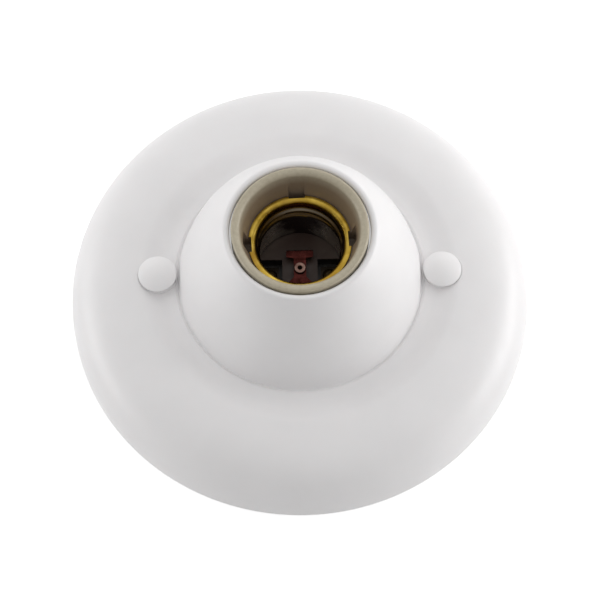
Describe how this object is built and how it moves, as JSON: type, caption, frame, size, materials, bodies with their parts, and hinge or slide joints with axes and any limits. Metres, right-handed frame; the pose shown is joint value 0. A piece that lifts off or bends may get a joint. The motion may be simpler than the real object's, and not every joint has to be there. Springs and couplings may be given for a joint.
{
  "type": "batten lamp holder",
  "caption": "Round plastic batten lamp holder with a domed boss, a porcelain socket with a threaded brass shell, a sprung centre contact, screw terminals and snap caps over the fixing wells.",
  "frame": {"origin": "on the socket axis, in the plane of the base's back rim", "axes": "+Z along the socket axis towards the lamp; X through the two fixing screw wells; Y along the centre contact's strip, from its rivet at -Y"},
  "size_m": [0.146, 0.146, 0.0505],
  "materials": {
    "base_plastic": "smooth white moulded plastic with a soft sheen",
    "cap_plastic": "smooth white moulded plastic",
    "insert_porcelain": "beige porcelain, thinly glazed",
    "shell_brass": "bright rolled brass sheet",
    "contact_copper": "reddish copper alloy spring strip",
    "rivet_brass": "plain brass",
    "terminal_brass": "stamped brass, unpolished",
    "zinc_steel": "zinc-plated steel"
  },
  "bodies": {
    "base": {"base_housing": "base_plastic", "porcelain_insert": "insert_porcelain", "lamp_shell": "shell_brass", "contact_rivet": "rivet_brass", "shell_rivet": "rivet_brass", "shell_anchor_rivet": "rivet_brass", "line_terminal": "terminal_brass", "neutral_terminal": "terminal_brass", "insert_washer_front": "zinc_steel", "insert_washer_back": "zinc_steel", "insert_screw_front": "zinc_steel", "insert_screw_back": "zinc_steel"},
    "cap_left": {"screw_cap_left": "cap_plastic"},
    "cap_right": {"screw_cap_right": "cap_plastic"},
    "contact": {"centre_contact": "contact_copper", "contact_eyelet": "contact_copper"},
    "line_screw": {"line_terminal_screw": "zinc_steel", "line_clamp_washer": "zinc_steel"},
    "neutral_screw": {"neutral_terminal_screw": "zinc_steel", "neutral_clamp_washer": "zinc_steel"}
  },
  "joints": [
    {"name": "cap_left_pull", "type": "slide", "parent": "base", "child": "cap_left", "axis": [0, 0, 1], "range_m": [0, 0.012]},
    {"name": "cap_right_pull", "type": "slide", "parent": "base", "child": "cap_right", "axis": [0, 0, 1], "range_m": [0, 0.012]},
    {"name": "contact_flex", "type": "hinge", "parent": "base", "child": "contact", "pos_m": [0, -0.009, 0.02005], "axis": [1, 0, 0], "range_deg": [-6, 0], "stiffness_Nm_per_rad": 0.3},
    {"name": "line_screw_back_out", "type": "slide", "parent": "base", "child": "line_screw", "axis": [0, 0, -1], "range_m": [0, 0.003]},
    {"name": "neutral_screw_back_out", "type": "slide", "parent": "base", "child": "neutral_screw", "axis": [0, 0, -1], "range_m": [0, 0.003]}
  ]
}
